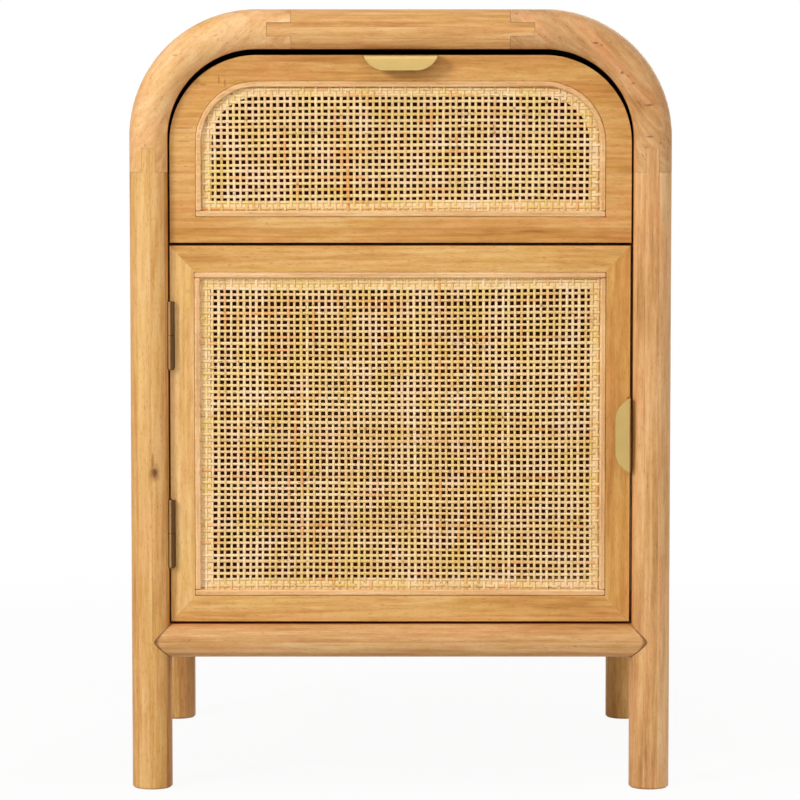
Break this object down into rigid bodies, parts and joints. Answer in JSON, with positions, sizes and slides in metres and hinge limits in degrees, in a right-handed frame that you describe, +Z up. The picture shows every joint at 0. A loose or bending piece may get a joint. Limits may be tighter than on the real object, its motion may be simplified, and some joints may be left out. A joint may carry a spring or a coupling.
{
  "type": "nightstand",
  "caption": "Nightstand with arched hoops of round wooden tube, a cane-fronted drawer above a hinged cane door, and bent brass pulls.",
  "frame": {"origin": "on the floor, under the middle of the object", "axes": "+X to the right of someone facing the fronts, +Y to the back, +Z up; the drawer and door face -Y"},
  "size_m": [0.45, 0.4, 0.65],
  "materials": {
    "frame_wood": "satin clear lacquer over laminated ash strips",
    "front_wood": "satin clear lacquer",
    "panel_wood": "satin clear lacquer",
    "bead_wood": "satin clear lacquer",
    "box_wood": "thin matt lacquer",
    "cane": "woven peel, half gloss",
    "satin_brass": "satin",
    "antique_brass": "antique satin",
    "screw_steel": "satin",
    "strike_steel": "zinc plated",
    "catch_plastic": "matt brown"
  },
  "bodies": {
    "carcass": {"back_bottom_rail": "frame_wood", "back_left_corner": "frame_wood", "back_left_post": "frame_wood", "back_panel": "panel_wood", "back_right_corner": "frame_wood", "back_right_post": "frame_wood", "back_top_rail": "frame_wood", "catch_screws": "screw_steel", "cupboard_floor": "panel_wood", "drawer_divider": "panel_wood", "front_bottom_rail": "frame_wood", "front_left_corner": "frame_wood", "front_left_post": "frame_wood", "front_right_corner": "frame_wood", "front_right_post": "frame_wood", "front_top_rail": "frame_wood", "hinge_pins": "antique_brass", "hinge_post_leaves": "antique_brass", "hinge_post_screws": "screw_steel", "left_bottom_rail": "frame_wood", "left_drawer_runner": "box_wood", "left_shoulder_panel": "panel_wood", "left_side_panel": "panel_wood", "magnetic_catch": "catch_plastic", "rail_dowels": "box_wood", "right_bottom_rail": "frame_wood", "right_drawer_runner": "box_wood", "right_shoulder_panel": "panel_wood", "right_side_panel": "panel_wood", "runner_screws": "screw_steel", "top_panel": "panel_wood"},
    "drawer": {"drawer_arch_bead": "bead_wood", "drawer_back": "box_wood", "drawer_base": "box_wood", "drawer_bottom_bead": "bead_wood", "drawer_cane": "cane", "drawer_front": "front_wood", "drawer_front_screws": "screw_steel", "drawer_inner_front": "box_wood", "drawer_left_side": "box_wood", "drawer_pull": "satin_brass", "drawer_pull_screws": "screw_steel", "drawer_right_side": "box_wood"},
    "door": {"door_bottom_bead": "bead_wood", "door_bottom_rail": "front_wood", "door_cane": "cane", "door_hinge_stile": "front_wood", "door_left_bead": "bead_wood", "door_pull": "satin_brass", "door_pull_screws": "screw_steel", "door_pull_stile": "front_wood", "door_right_bead": "bead_wood", "door_top_bead": "bead_wood", "door_top_rail": "front_wood", "hinge_door_leaves": "antique_brass", "hinge_door_screws": "screw_steel", "catch_strike": "strike_steel", "strike_screws": "screw_steel"}
  },
  "joints": [
    {"name": "drawer_slide", "type": "slide", "parent": "carcass", "child": "drawer", "axis": [0, -1, 0], "range_m": [0, 0.25]},
    {"name": "door_hinge", "type": "hinge", "parent": "carcass", "child": "door", "pos_m": [-0.191, -0.18875, 0.29725], "axis": [0, 0, -1], "range_deg": [0, 135]}
  ]
}
